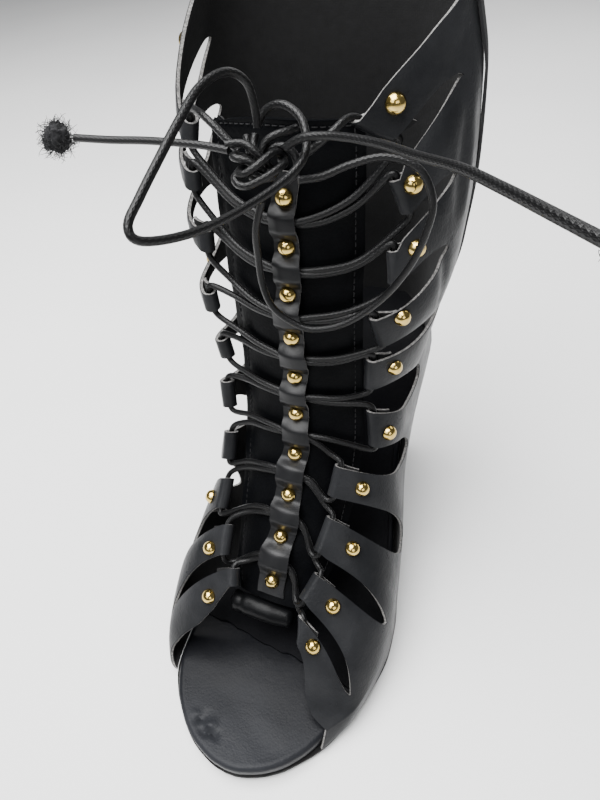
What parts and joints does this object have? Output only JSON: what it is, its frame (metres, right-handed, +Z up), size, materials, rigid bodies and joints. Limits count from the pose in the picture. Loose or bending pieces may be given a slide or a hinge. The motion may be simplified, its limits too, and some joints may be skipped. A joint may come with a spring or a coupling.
{
  "type": "open-toe ankle boot",
  "caption": "Black leather open-toe ankle boot with a high heel, a cage of studded straps and a round lace tied in a bow over a tongue",
  "frame": {"origin": "on the floor, under the middle of the boot's box without the free lace", "axes": "+Z up, -Y to the toe, +X to the outer (lateral) side of this left shoe"},
  "size_m": [0.1683, 0.2092, 0.2569],
  "materials": {
    "black_leather": "matt to satin, soft creases",
    "footbed_leather": "satin",
    "sock_cloth": "matt",
    "sole_rubber": "matt",
    "tip_rubber": "matt",
    "strip_plastic": "matt",
    "stud_metal": "polished gold",
    "lace_cord": "round braided cord"
  },
  "bodies": {
    "root": {"outsole": "sole_rubber", "footbed": "footbed_leather", "sock_lining": "sock_cloth", "heel": "black_leather", "heel_tip": "tip_rubber", "upper": "black_leather", "side_strip": "strip_plastic", "tongue": "black_leather", "toe_roll": "black_leather", "spine_strap": "black_leather", "stud_lateral_1": "stud_metal", "stud_lateral_2": "stud_metal", "stud_lateral_3": "stud_metal", "stud_lateral_4": "stud_metal", "stud_lateral_5": "stud_metal", "stud_lateral_6": "stud_metal", "stud_lateral_7": "stud_metal", "stud_lateral_8": "stud_metal", "stud_lateral_9": "stud_metal", "stud_lateral_10": "stud_metal", "stud_medial_1": "stud_metal", "stud_medial_2": "stud_metal", "stud_medial_3": "stud_metal", "stud_medial_4": "stud_metal", "stud_medial_5": "stud_metal", "stud_medial_6": "stud_metal", "stud_medial_7": "stud_metal", "stud_medial_8": "stud_metal", "stud_medial_9": "stud_metal", "stud_medial_10": "stud_metal", "stud_spine_1": "stud_metal", "stud_spine_2": "stud_metal", "stud_spine_3": "stud_metal", "stud_spine_4": "stud_metal", "stud_spine_5": "stud_metal", "stud_spine_6": "stud_metal", "stud_spine_7": "stud_metal", "stud_spine_8": "stud_metal", "stud_spine_9": "stud_metal", "stud_spine_10": "stud_metal", "lace_crossing_1": "lace_cord", "lace_crossing_2": "lace_cord", "lace_crossing_3": "lace_cord", "lace_crossing_4": "lace_cord", "lace_crossing_5": "lace_cord", "lace_crossing_6": "lace_cord", "lace_crossing_7": "lace_cord", "lace_crossing_8": "lace_cord", "lace_crossing_9": "lace_cord", "lace_knot": "lace_cord", "lace_tuft": "lace_cord", "lace_left_loop": "lace_cord", "lace_right_loop": "lace_cord", "lace_left_end": "lace_cord", "lace_right_end": "lace_cord", "lace_left_lead": "lace_cord", "lace_right_lead": "lace_cord"}
  },
  "joints": []
}
